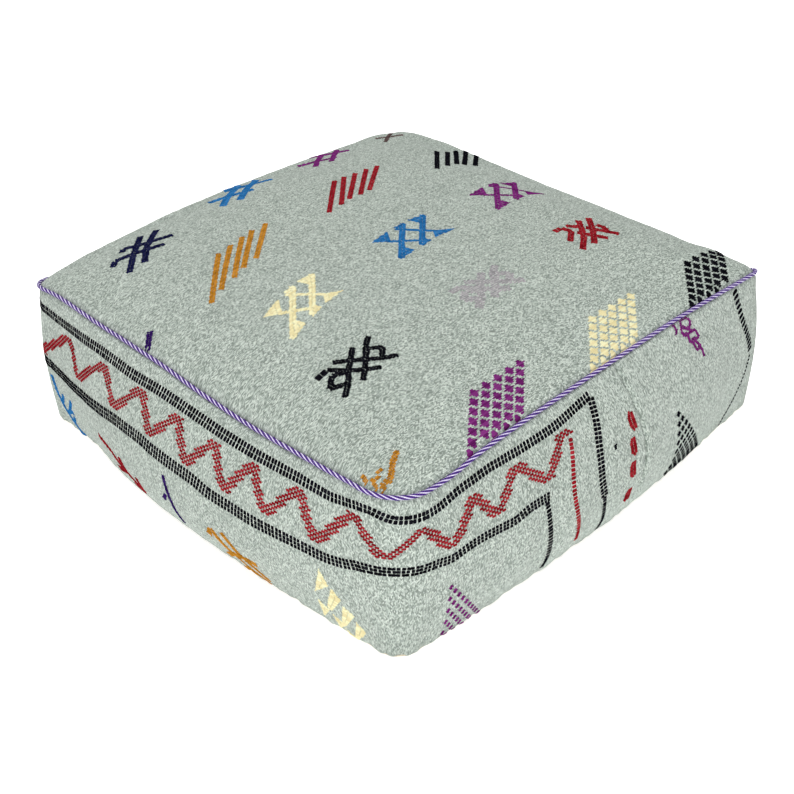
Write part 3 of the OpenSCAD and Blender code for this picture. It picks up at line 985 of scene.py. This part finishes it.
LATTICE = [([(19, 7), (-38, -47)], 7), ([(48, 5), (-3, -43)], 7), ([(-22, -10), (9, -40)], 4.6),
           ([(3, 4), (32, -35)], 4.6)]
SERIFS = [
    [(-34, 1), (-5, 6), (-19, -14)], [(5, 8), (21, 7), (8, -6)], [(27, 9), (50, 5), (33, -9)],
    [(-41, -49), (-15, -45), (-19, -31)], [(-5, -45), (12, -43), (10, -31)],
    [(28, -29), (47, -43), (18, -42)],
]


def lattice(colour, dx, dy, lean=0.0, grow=1.0):
    """Two crossed strokes each way, with a small triangle at each end."""
    def moved(points):
        return [(dx + grow * x, dy + grow * y + lean * x) for x, y in points]
    shapes = [bar(*moved(line), wide) for line, wide in LATTICE] + [moved(s) for s in SERIFS]
    fill(colour, on_top, shapes, top_room)


lattice("blue", 0, 0)
lattice("cream", -168, -16, 0.2)
lattice("purple", 153, 2)

for colour, bars in (
    ("ochre", [((-214, 44), (-152, 110)), ((-195, 52), (-133, 114)), ((-174, 57), (-113, 119)),
               ((-156, 64), (-96, 123)), ((-135, 69), (-76, 124))]),
    ("red", [((-14, 89), (49, 149)), ((8, 93), (64, 149)), ((24, 97), (80, 147)), ((40, 96), (98, 147)),
             ((55, 97), (114, 145))]),
    ("black", [((155, 86), (210, 139)), ((173, 86), (226, 136)), ((188, 85), (241, 136)),
               ((198, 82), (253, 130)), ((213, 78), (268, 125))]),
):
    strokes(colour, bars, 6)

strokes("navy", [
    [(-227, 168), (-202, 195), (-170, 228)], [(-207, 168), (-185, 195), (-150, 226)],
    [(-230, 195), (-221, 203), (-203, 196), (-190, 190), (-170, 182)],
    [(-206, 212), (-200, 218), (-188, 208), (-172, 201), (-151, 193)],
], 7.6)
strokes("blue", [
    [(-70, 208), (-44, 232), (-10, 256)], [(-48, 204), (-18, 230), (14, 252)],
    [(-68, 238), (-42, 231), (-16, 219)], [(-32, 256), (-4, 243), (20, 228)],
], 9)
strokes("purple", [
    [(80, 218), (100, 238), (124, 256)], [(104, 216), (126, 236), (146, 252)],
    [(74, 244), (100, 238), (122, 226)], [(106, 260), (128, 249), (152, 236)],
], 7)
strokes("umber", [[(200, 220), (218, 234), (236, 246)], [(204, 242), (220, 234), (236, 224)]], 5)
strokes("violet", [[(-285, 59), (-270, 74)]], 6.4, high=1.0)

# ---------------------------------------------------------------- Motifs of the band


def path(points, step):
    """Evenly spaced points of a smoothed line over the band, and the line's direction at each."""
    p = np.array(points, float)
    along = run_length(p)
    fine = np.arange(0, along[-1], 2.0)
    line = np.stack([np.interp(fine, along, p[:, k]) for k in (0, 1)], -1)
    for _ in range(12):
        line[1:-1] = (line[:-2] + 2 * line[1:-1] + line[2:]) / 4
    far = run_length([on_band(*q)[0] for q in line])
    at = np.arange(step / 2, far[-1], step)
    spot, before, after = (
        np.stack([np.interp(at + shift, far, line[:, k]) for k in (0, 1)], -1) for shift in (0, -1, 1)
    )
    ahead = after - before
    return spot, ahead / np.maximum(np.linalg.norm(ahead, axis=1, keepdims=True), 1e-9)


def ladder(colour, points, rows, bar_l=4.6, pitch=4.1, gap=0.3, wide=4.2, backing=True):
    """Rows of short bars across a line, with paler ones between. bar_l may be lists of t and of length."""
    spot, ahead = path(points, pitch)
    for p, d in zip(spot, ahead):
        length = np.interp(p[0], *bar_l) if isinstance(bar_l, tuple) else bar_l
        across = np.array([-d[1], d[0]])
        for r in range(rows):
            middle = (r - (rows - 1) / 2) * (length + gap)
            jitter = rng.uniform(-0.35, 0.35)
            a = p + across * (middle - length / 2) + d * jitter
            b = p + across * (middle + length / 2) + d * jitter
            if band_room(*a) and band_room(*b):
                stitches[colour].stitch(on_band, a, b, wide, 0.8)
            if backing:
                a, b = a + d * pitch / 2, b + d * pitch / 2
                if band_room(*a) and band_room(*b):
                    stitches["white"].stitch(on_band, a, b, 1.3, 0.3)


UPPER = [
    (-584, 17), (-530, 18), (-460, 20), (-400, 21), (-340, 24), (-300, 23), (-260, 24), (-200, 26),
    (-150, 26), (-100, 23), (-60, 23), (-20, 15), (0, 23), (20, 25), (40, 25), (60, 20), (100, 17),
    (140, 19), (180, 19), (200, 17), (230, 13), (240, 12)
]
ladder("black", UPPER, 2, ((-120, 0), (5.2, 4.4)))
ladder("black", [(238, 14), (232, 40), (226, 60), (223, 80), (222, 95), (226, 115)], 2, 4.4)
ladder("black", [(226, 115), (230, 135), (236, 155), (240, 178)], 1, bar_l=5)
LOWER = [
    (-584, 90), (-525, 88), (-480, 86), (-440, 83), (-400, 80), (-350, 76), (-300, 77), (-290, 79),
    (-250, 81), (-220, 82), (-200, 86), (-150, 88), (-100, 87), (-60, 87), (-40, 84), (-20, 77), (0, 76),
    (20, 78), (45, 83), (60, 79), (80, 77), (100, 78), (115, 80), (130, 75), (157, 76)
]
ladder("black", LOWER, 3, ((-120, 0), (4.1, 3.0)))
ladder("black", [(152, 80), (155, 105), (159, 130), (162, 150), (166, 178)], 1, bar_l=5.6)
ladder("black", [(492, 3), (498, 19), (503, 37), (513, 57), (523, 76), (526, 92)], 1,
       bar_l=9.6, pitch=6.2, wide=4.6, backing=False)
ladder("black", [(526, 93), (523, 102), (517, 114), (507, 127), (494, 143), (485, 157), (476, 173)], 1,
       bar_l=3.4, pitch=4.2, wide=3.4, backing=False)
for t in (-577, 562):
    ladder("red", [(t, 8), (t, 40), (t + 1, 80), (t - 2, 120)], 1, bar_l=3, pitch=3.4, backing=False)

# Distance over the cloth along the middle of the zigzag
ZIGZAG_H = 52
ground_t = np.arange(-ROUND / 2, ROUND / 2 + 1, 2.0)
ground_far = run_length([on_band(t, ZIGZAG_H)[0] for t in ground_t])


def zigzag(colour, corners, thick=9.8, pitch=2.3, dash=4.4, step=5.8):
    """Legs of staggered dashes, spaced evenly over the cloth."""
    corners = [(np.interp(t, ground_t, ground_far), h) for t, h in corners]
    for (t0, h0), (t1, h1) in zip(corners[:-1], corners[1:]):
        length = math.hypot(t1 - t0, h1 - h0)
        reach = thick / 2 * length / max(abs(h1 - h0), 1e-6)
        low, high = sorted((h0, h1))
        for j in range(math.ceil(low / pitch), math.floor(high / pitch) + 1):
            h = j * pitch
            middle = t0 + (t1 - t0) * (h - h0) / (h1 - h0)
            shift = step / 2 * (j % 2)
            start = math.ceil((middle - reach - shift) / step)
            end = math.floor((middle + reach - shift) / step)
            for i in range(start, end + 1):
                at = i * step + shift
                a, b = np.interp([at - dash / 2, at + dash / 2], ground_far, ground_t)
                if band_room(a, h):
                    stitches[colour].stitch(on_band, (a, h), (b, h), 2.6, 0.9)


zigzag("red", [
    (-580, 90), (-545, 78), (-470, 30), (-445, 68), (-390, 31), (-355, 66), (-320, 30), (-290, 67),
    (-259, 33), (-233, 72), (-203, 35), (-178, 74), (-151, 34), (-127, 73), (-94, 30), (-71, 74), (-34, 27),
    (-8, 64), (21, 36), (46, 71), (75, 32), (96, 64), (126, 28), (157, 62), (189, 26), (198, 33)
])
ladder("red", [(196, 36), (192, 50), (187, 65), (184, 80), (184, 95), (188, 115), (193, 135), (200, 160)], 1,
       bar_l=5.2, pitch=4.0)


def side_fill(colour, shape):
    fill(colour, on_band, [shape], band_room)


def side_strokes(colour, lines, wide, **more):
    strokes(colour, lines, wide, on_band, band_room, **more)


for shape in (
    [(-69, 103), (-79, 135), (-61, 119)], [(-59, 120), (-70, 150), (-66, 153), (-50, 130)],
    [(-79, 145), (-80, 169), (-68, 153)], [(-67, 157), (-64, 174), (-53, 163)],
    [(-50, 136), (-58, 164), (-51, 161), (-38, 142)], [(-38, 149), (-47, 174), (-41, 172), (-29, 157)],
    [(-57, 167), (-48, 184), (-42, 176)],
):
    side_fill("cream", shape)
side_strokes("ochre", [
    [(-200, 128), (-188, 150), (-170, 168), (-152, 184)],
    [(-186, 126), (-172, 146), (-156, 162), (-146, 172)],
    [(-196, 168), (-184, 156), (-168, 150), (-150, 148)], [(-186, 186), (-172, 176), (-160, 174)],
    [(-200, 128), (-206, 140)],
], 6.5)
side_strokes("violet", [[(-263, 98), (-255, 125), (-250, 155)], [(-268, 130), (-262, 120)]], 5.5)
side_strokes("red", [
    [(-400, 118), (-370, 126), (-345, 140), (-318, 155)], [(-345, 140), (-352, 122)],
    [(-345, 140), (-368, 148)],
    [(-322, 134), (-318, 155), (-340, 158)],
], 7.5)
side_strokes("blue", [
    [(-531, 104), (-526, 128), (-516, 146), (-502, 160), (-482, 178)], [(-519, 138), (-511, 122)],
    [(-510, 152), (-487, 118)], [(-510, 150), (-500, 142), (-492, 140)], [(-500, 160), (-494, 148)],
], 6)


def knots(colour, t, h, lines, apart, reach, across, wide, tall, step):
    """Triangle of knots in slanting lines, one below another, that all reach down to the same height."""
    length = math.hypot(*across)
    for k in range(lines):
        for i in range(100):
            a, b = t + across[0] / length * step * i, h + apart * k + across[1] / length * step * i
            if b > reach:
                break
            for r, share in ((-1, 0.5), (0, 1.0), (1, 0.5)):
                v = b + r * tall / 3
                ends = (a - wide / 2 * share, v), (a + wide / 2 * share, v)
                if band_room(*ends[0]):
                    stitches[colour].stitch(on_band, *ends, tall / 2.7)


knots("purple", 45, 114, 5, 13.5, 180, (47, 66), 5.8, 5.2, 8.4)
knots("black", 351, 84, 8, 11.5, 180, (79, 96), 7.6, 6.6, 9.6)
side_strokes("purple", [
    [(378, -3), (382, 5), (379, 10)], [(378, -3), (392, 0), (404, 1)],
    [(392, 1), (388, 9), (390, 15), (396, 15)],
    [(404, 2), (406, 7), (400, 11), (390, 6)], [(400, 11), (402, 15), (396, 16), (396, 25)],
    [(402, 15), (410, 16), (413, 25), (402, 24), (396, 25)], [(402, 24), (411, 33), (413, 46)],
    [(400, 26), (404, 36), (411, 33)],
], 3.8, pitch=1.5, yarn_w=1.9)
for t, h in ((276, 57), (270, 81), (266, 105), (265, 137)):
    dab = [(-5, -4), (-1, -10), (5, -8), (5, 8), (0, 10), (-5, 5)]
    side_fill("red", [(t + dt, h + dh) for dt, dh in dab])
side_fill("black", [(244, 66), (248, 68), (247, 73), (243, 72)])

# Round the back, where the same cloth goes on: ladders and zigzag on one side, a few motifs on the other
ladder("black", [(-590, 24), (-700, 22), (-850, 25), (-1000, 23), (-1066, 24)], 2)
ladder("black", [(-590, 84), (-700, 81), (-850, 80), (-1000, 82), (-1066, 80)], 3, bar_l=3.3)
zigzag("red", [(-592 - 32 * i, 34 if i % 2 else 70) for i in range(15)])
knots("black", 700, 92, 7, 11.5, 176, (72, 84), 6.2, 5.8, 9.2)
side_strokes("ochre", [
    [(880 + x * 0.6, 100 + y * 0.6) for x, y in line]
    for line in (((-214, 44), (-152, 110)), ((-174, 57), (-113, 119)))
], 6)
side_strokes("blue", [[(930 + x * 0.8, 110 - y * 0.8) for x, y in line] for line, _ in LATTICE], 5)

for name, work in stitches.items():
    piece = make_object("yarn_" + name, work.verts, work.faces, YARNS[name], work.weave)
    cushion_piece(piece, "yarn")

# ---------------------------------------------------------------- Base, with the zip in its recess

ROOF_Z = 8.0          # height of the recess over the floor
RECESS_L, RECESS_W = 218.0, 12.0  # half-length and half-width of the recess's roof
FLARE = 12.0          # how far its sides slope out
SLOT = 3.7            # half-width of the opening between the two halves, along the zip
SLOT_END = 0.25       # and beyond its ends
RIM_Z = 5.4           # how far the rim rises to meet the band's lower edge
BASE_N = 90


def base_height(x, y):
    """The base lies on the floor, but is pressed up over the zip."""
    up = smooth((RECESS_L + FLARE - np.abs(x)) / FLARE) * smooth((RECESS_W + FLARE - np.abs(y)) / FLARE)
    return ROOF_Z * up


def flat_base(w, s, f, inset):
    """Outline of the base, drawn s of the way out from its middle."""
    r_last, r_next = corner_radii(w, np.full_like(s, f), RADII)
    x, y = outline(w, (HALF + SPREAD - inset) * s, BOW[0] * s, (r_last - inset) * s, (r_next - inset) * s)
    far_x, far_y, _ = pulled(x, y, 0, w, np.full_like(s, f))
    return x + (far_x - x) * s ** 3, y + (far_y - y) * s ** 3


def base_half(name, side, node):
    """Half of the base, near side -1 or far side 1, with its hem along the zip."""
    g = np.arange(-BASE_N, BASE_N + 1) / BASE_N
    across = np.linspace(0.0, 1, 61) ** 1.5
    gx, gy = np.meshgrid(g, side * across, indexing="ij")
    w, s = square_to_ring(gx, gy)
    s = np.clip(s, 1e-4, 1)
    x, y = flat_base(w, s, 0.0, 0.0)
    z = base_height(x, y) + RIM_Z * smooth((s - 0.984) / 0.016)
    slot = SLOT_END + (SLOT - SLOT_END) * smooth((RECESS_L + 6 - np.abs(x)) / 12)
    y = y + side * slot * np.clip(1 - np.abs(y) / 30, 0, 1)
    hem = 0.35 * bell(np.abs(y) - slot - 2.2, 2.2) * smooth((RECESS_L - np.abs(x)) / 12)
    # Turned so that its outside faces down
    p = np.stack([x, y, np.maximum(z - hem, 0)], -1)[::side, ::-1]
    weave = np.stack([p[..., 0], p[..., 1], np.zeros(p.shape[:2])], -1)
    return cushion_piece(sheet_object(name, p, CANVAS_T, canvas, weave), "canvas", node)


base_half("base_canvas_near", -1, "base_panel_near")
base_half("base_canvas_far", 1, "base_panel_far")

thread = Stitches()


def under_base(x, y):
    """Point and outward direction on the underside of the base."""
    return np.array([x, y, base_height(np.array(x), np.array(y)) - 0.05]), np.array([0, 0, -1.0])


for y in (-6.6, 6.6):
    for i in range(-108, 108):
        thread.stitch(under_base, (2 * i + 0.4, y), (2 * i + 1.9, y), 0.55, 0.35)
for x in (-211, 211):
    for i in range(-3, 3):
        thread.stitch(under_base, (x, 2.2 * i + 0.3), (x, 2.2 * i + 1.9), 0.55, 0.35)
cushion_piece(make_object("zip_topstitch", thread.verts, thread.faces, thread_yarn, thread.weave), "thread")


TAPE_T = 0.62


def tape(name, side, node):
    """Ribbed tape along one side of the zip."""
    low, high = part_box(node)
    x = np.linspace(low.x / MM, high.x / MM, 260)
    inner, outer = (low.y, high.y) if side > 0 else (high.y, low.y)
    y = np.linspace(inner / MM, outer / MM, 15)
    gx, gy = np.meshgrid(x, y, indexing="ij")
    rib = 0.06 * np.cos(np.arange(15) * math.pi)[None] + 0 * gx
    # Turned so that its outside faces down
    p = np.stack([gx, gy, low.z / MM + 0.12 + rib], -1)[:, ::-side]
    piece = sheet_object(name, p, TAPE_T, tape_cloth, np.stack([gx, gy, 0 * gx], -1))
    return cushion_piece(piece, "zip_tape", node)


tape("zip_tape_woven_near", -1, "zip_tape_near")
tape("zip_tape_woven_far", 1, "zip_tape_far")

# ---------------------------------------------------------------- Insert: liner, wadding and foam

# How far inside the cover each layer lies, and the liner's own numbers
LINER_IN, WADDING_IN, FOAM_IN = 6.0, 7.4, 17.0
LINER_T = 0.7
LINER_Z = 3.0
LINER_LIFT = 5.0      # how far over the recess's roof the liner passes
WAIST = 0.5           # where the two halves of the wadding meet
FOOT = 0.11           # where wadding and foam start
FOAM_GAP = 0.5        # how far the wadding goes into the foam's edge


def shell(name, rings, material, slot, nodes, fill=None, closed=True):
    """Solid through rings that go round the cushion: a tube closed on itself, or else capped at both ends."""
    p = np.array(rings).transpose(1, 0, 2)
    count, levels = p.shape[:2]
    verts = p.reshape(-1, 3)
    faces = grid_faces(count, levels, True)
    if closed:
        for i in range(count):
            here, ahead = i * levels, (i + 1) % count * levels
            faces.append([here + levels - 1, here, ahead, ahead + levels - 1])
    else:
        faces.append([i * levels for i in range(count)][::-1])
        faces.append([i * levels + levels - 1 for i in range(count)])
    return cushion_piece(make_object(name, verts, faces, material, verts), slot, *nodes, fill=fill)


ring_w = wall_w[::3]
liner_f = np.linspace(0.09, 0.985, 20)
over_s = np.append(np.linspace(1, 0.08, 30), 0.02)


def round_band(low, high, inset, count):
    """Rings up the band, inset from its outside."""
    return [wall(ring_w, f, inset) for f in np.linspace(low, high, count)]


def over_top(inset, crown, first=1):
    """Rings over the top, from its edge towards the middle."""
    return [top(ring_w, s, inset, crown) for s in over_s[first:]]


outer = over_top(LINER_IN, CROWN - LINER_IN - 1, 0)
inner = over_top(LINER_IN + 0.7, CROWN - LINER_IN - 1.7, 0)
shell("insert_liner_top_panel", outer + inner[::-1], calico, "liner", ["insert_liner_top"], fill=0.8)

for name, node, first, last in (
    ("insert_liner_band_far", "insert_liner_side_far", 0.0, 2.0),
    ("insert_liner_band_near", "insert_liner_side_near", 2.0, 4.0),
):
    w = np.linspace(first, last, 180)
    W, F = np.meshgrid(np.clip(w, first + 1e-6, last - 1e-6), liner_f, indexing="ij")
    p = wall(W, F, LINER_IN)
    weave = np.stack([t_of(W), p[..., 2], 0 * F], -1)
    cushion_piece(sheet_object(name, p, LINER_T, calico, weave), "liner", node, fill=0.8)

steps = np.arange(-40, 41) / 40
w, s = square_to_ring(*np.meshgrid(steps, steps, indexing="ij"))
x, y = flat_base(w, np.clip(s, 1e-4, 1), 0.03, LINER_IN)
lift = (ROOF_Z + LINER_LIFT - LINER_Z) / ROOF_Z * base_height(x * 0.985, y * 0.8)
p = np.stack([x, y, LINER_Z + lift], -1)[:, ::-1]
piece = sheet_object("insert_liner_base_panel", p, LINER_T, calico, p.copy())
cushion_piece(piece, "liner", "insert_liner_base", fill=0.8)

lump = round_band(WAIST + 0.002, 1, WADDING_IN, 12) + over_top(WADDING_IN, CROWN - WADDING_IN - 1)
core = round_band(WAIST + 0.002, 1, FOAM_IN - FOAM_GAP, 12) + over_top(FOAM_IN - FOAM_GAP, 6.5)
shell("wadding_fleece_upper", lump + core[::-1], wadding_fluff, "wadding", ["wadding_upper"], fill=0.7)
lump = [wall(ring_w, f, WADDING_IN + 4 * max(0, 0.2 - f)) for f in np.linspace(FOOT, WAIST - 0.002, 12)]
core = round_band(FOOT, WAIST - 0.002, FOAM_IN - FOAM_GAP, 12)
shell("wadding_fleece_lower", lump + core[::-1], wadding_fluff, "wadding", ["wadding_lower"], fill=0.7)
block = round_band(FOOT, 1, FOAM_IN, 16) + over_top(FOAM_IN, 6)
block[0] = 0.5 * (block[0] + block[1]) * [1, 1, 0] + [0, 0, 19]
block[0][:, :2] *= 0.99
shell("foam_block", block, foam_cells, "foam", ["foam_slab"], fill=1.0, closed=False)

# ---------------------------------------------------------------- Zip hardware: the CAD's own shapes

teeth_plastic = moulded("zip_teeth_plastic", (0.76, 0.72, 0.6), 0.35)
zip_steel = metal("zip_steel", (0.62, 0.6, 0.56), 0.28)
for node, material, wide in (
    ("zip_teeth_near", teeth_plastic, 0.18), ("zip_teeth_far", teeth_plastic, 0.18),
    ("zip_top_stops", zip_steel, 0.3), ("zip_bottom_stop", zip_steel, 0.3),
    ("zip_slider", zip_steel, 0.22), ("zip_pull", zip_steel, 0.25),
):
    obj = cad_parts[node]
    obj.data.materials.clear()
    obj.data.materials.append(material)
    bevel = obj.modifiers.new("worn_edges", "BEVEL")
    bevel.width = wide * MM
    bevel.segments = 2
    bevel.limit_method = "ANGLE"
    bevel.harden_normals = False

# ---------------------------------------------------------------- Floor, light and camera

paper = Nodes("backdrop_paper")
paper_grain, _ = position_noise(paper, 40)
paper.surface(paper.ramp(paper_grain, [(0.3, grey(0.93)), (0.7, grey(0.95))]), 0.9, specular=0.1)
paper.put(paper.shader.inputs["Emission Color"], (1, 1, 1, 1))
paper.put(paper.shader.inputs["Emission Strength"], 0.62)
FLOOR = 6000.0        # half-width of the floor
floor = make_object("floor", [(-FLOOR, -FLOOR, 0), (FLOOR, -FLOOR, 0), (FLOOR, FLOOR, 0), (-FLOOR, FLOOR, 0)],
                    [[0, 1, 2, 3]], paper.material)

world = bpy.data.worlds.new("studio")
world.use_nodes = True
sky = world.node_tree.nodes["Background"]
sky.inputs["Color"].default_value = (1, 1, 1, 1)
sky.inputs["Strength"].default_value = 0.5
bpy.context.scene.world = world
bpy.context.scene.view_settings.view_transform = "Standard"


def direction(azimuth, elevation):
    """From the cushion towards a light or the camera; azimuth 0 is on its -Y side."""
    a, e = math.radians(azimuth), math.radians(elevation)
    return Vector((math.sin(a) * math.cos(e), -math.cos(a) * math.cos(e), math.sin(e)))


def area_light(name, azimuth, elevation, distance, size, power):
    """Square softbox that faces the cushion."""
    back = direction(azimuth, elevation)
    lamp = bpy.data.lights.new(name, "AREA")
    lamp.shape = "SQUARE"
    lamp.size = size
    lamp.energy = power
    obj = bpy.data.objects.new(name, lamp)
    obj.location = Vector((0, 0, 0.1)) + back * distance
    obj.rotation_euler = back.to_track_quat("Z", "Y").to_euler()
    bpy.context.scene.collection.objects.link(obj)


area_light("key", -48, 8, 1.9, 0.9, 7.5)
area_light("over", -50, 80, 3.3, 1.6, 74)

CAMERA_AZIMUTH, CAMERA_ELEVATION, CAMERA_ROLL = -43.85, 31.58, -1.91
CAMERA_DISTANCE = 1.4515
back = direction(CAMERA_AZIMUTH, CAMERA_ELEVATION)
lens = bpy.data.cameras.new("camera")
lens.sensor_width = 36
lens.lens = 58.94
lens.shift_y = -0.0778
camera = bpy.data.objects.new("camera", lens)
camera.location = Vector((0, 0, 0.096)) + back * CAMERA_DISTANCE
turn = back.to_track_quat("Z", "Y").to_matrix()
roll = math.radians(CAMERA_ROLL)
right, up = turn.col[0].copy(), turn.col[1].copy()
turn.col[0] = right * math.cos(roll) + up * math.sin(roll)
turn.col[1] = up * math.cos(roll) - right * math.sin(roll)
camera.rotation_euler = turn.to_euler()
bpy.context.scene.collection.objects.link(camera)
bpy.context.scene.camera = camera
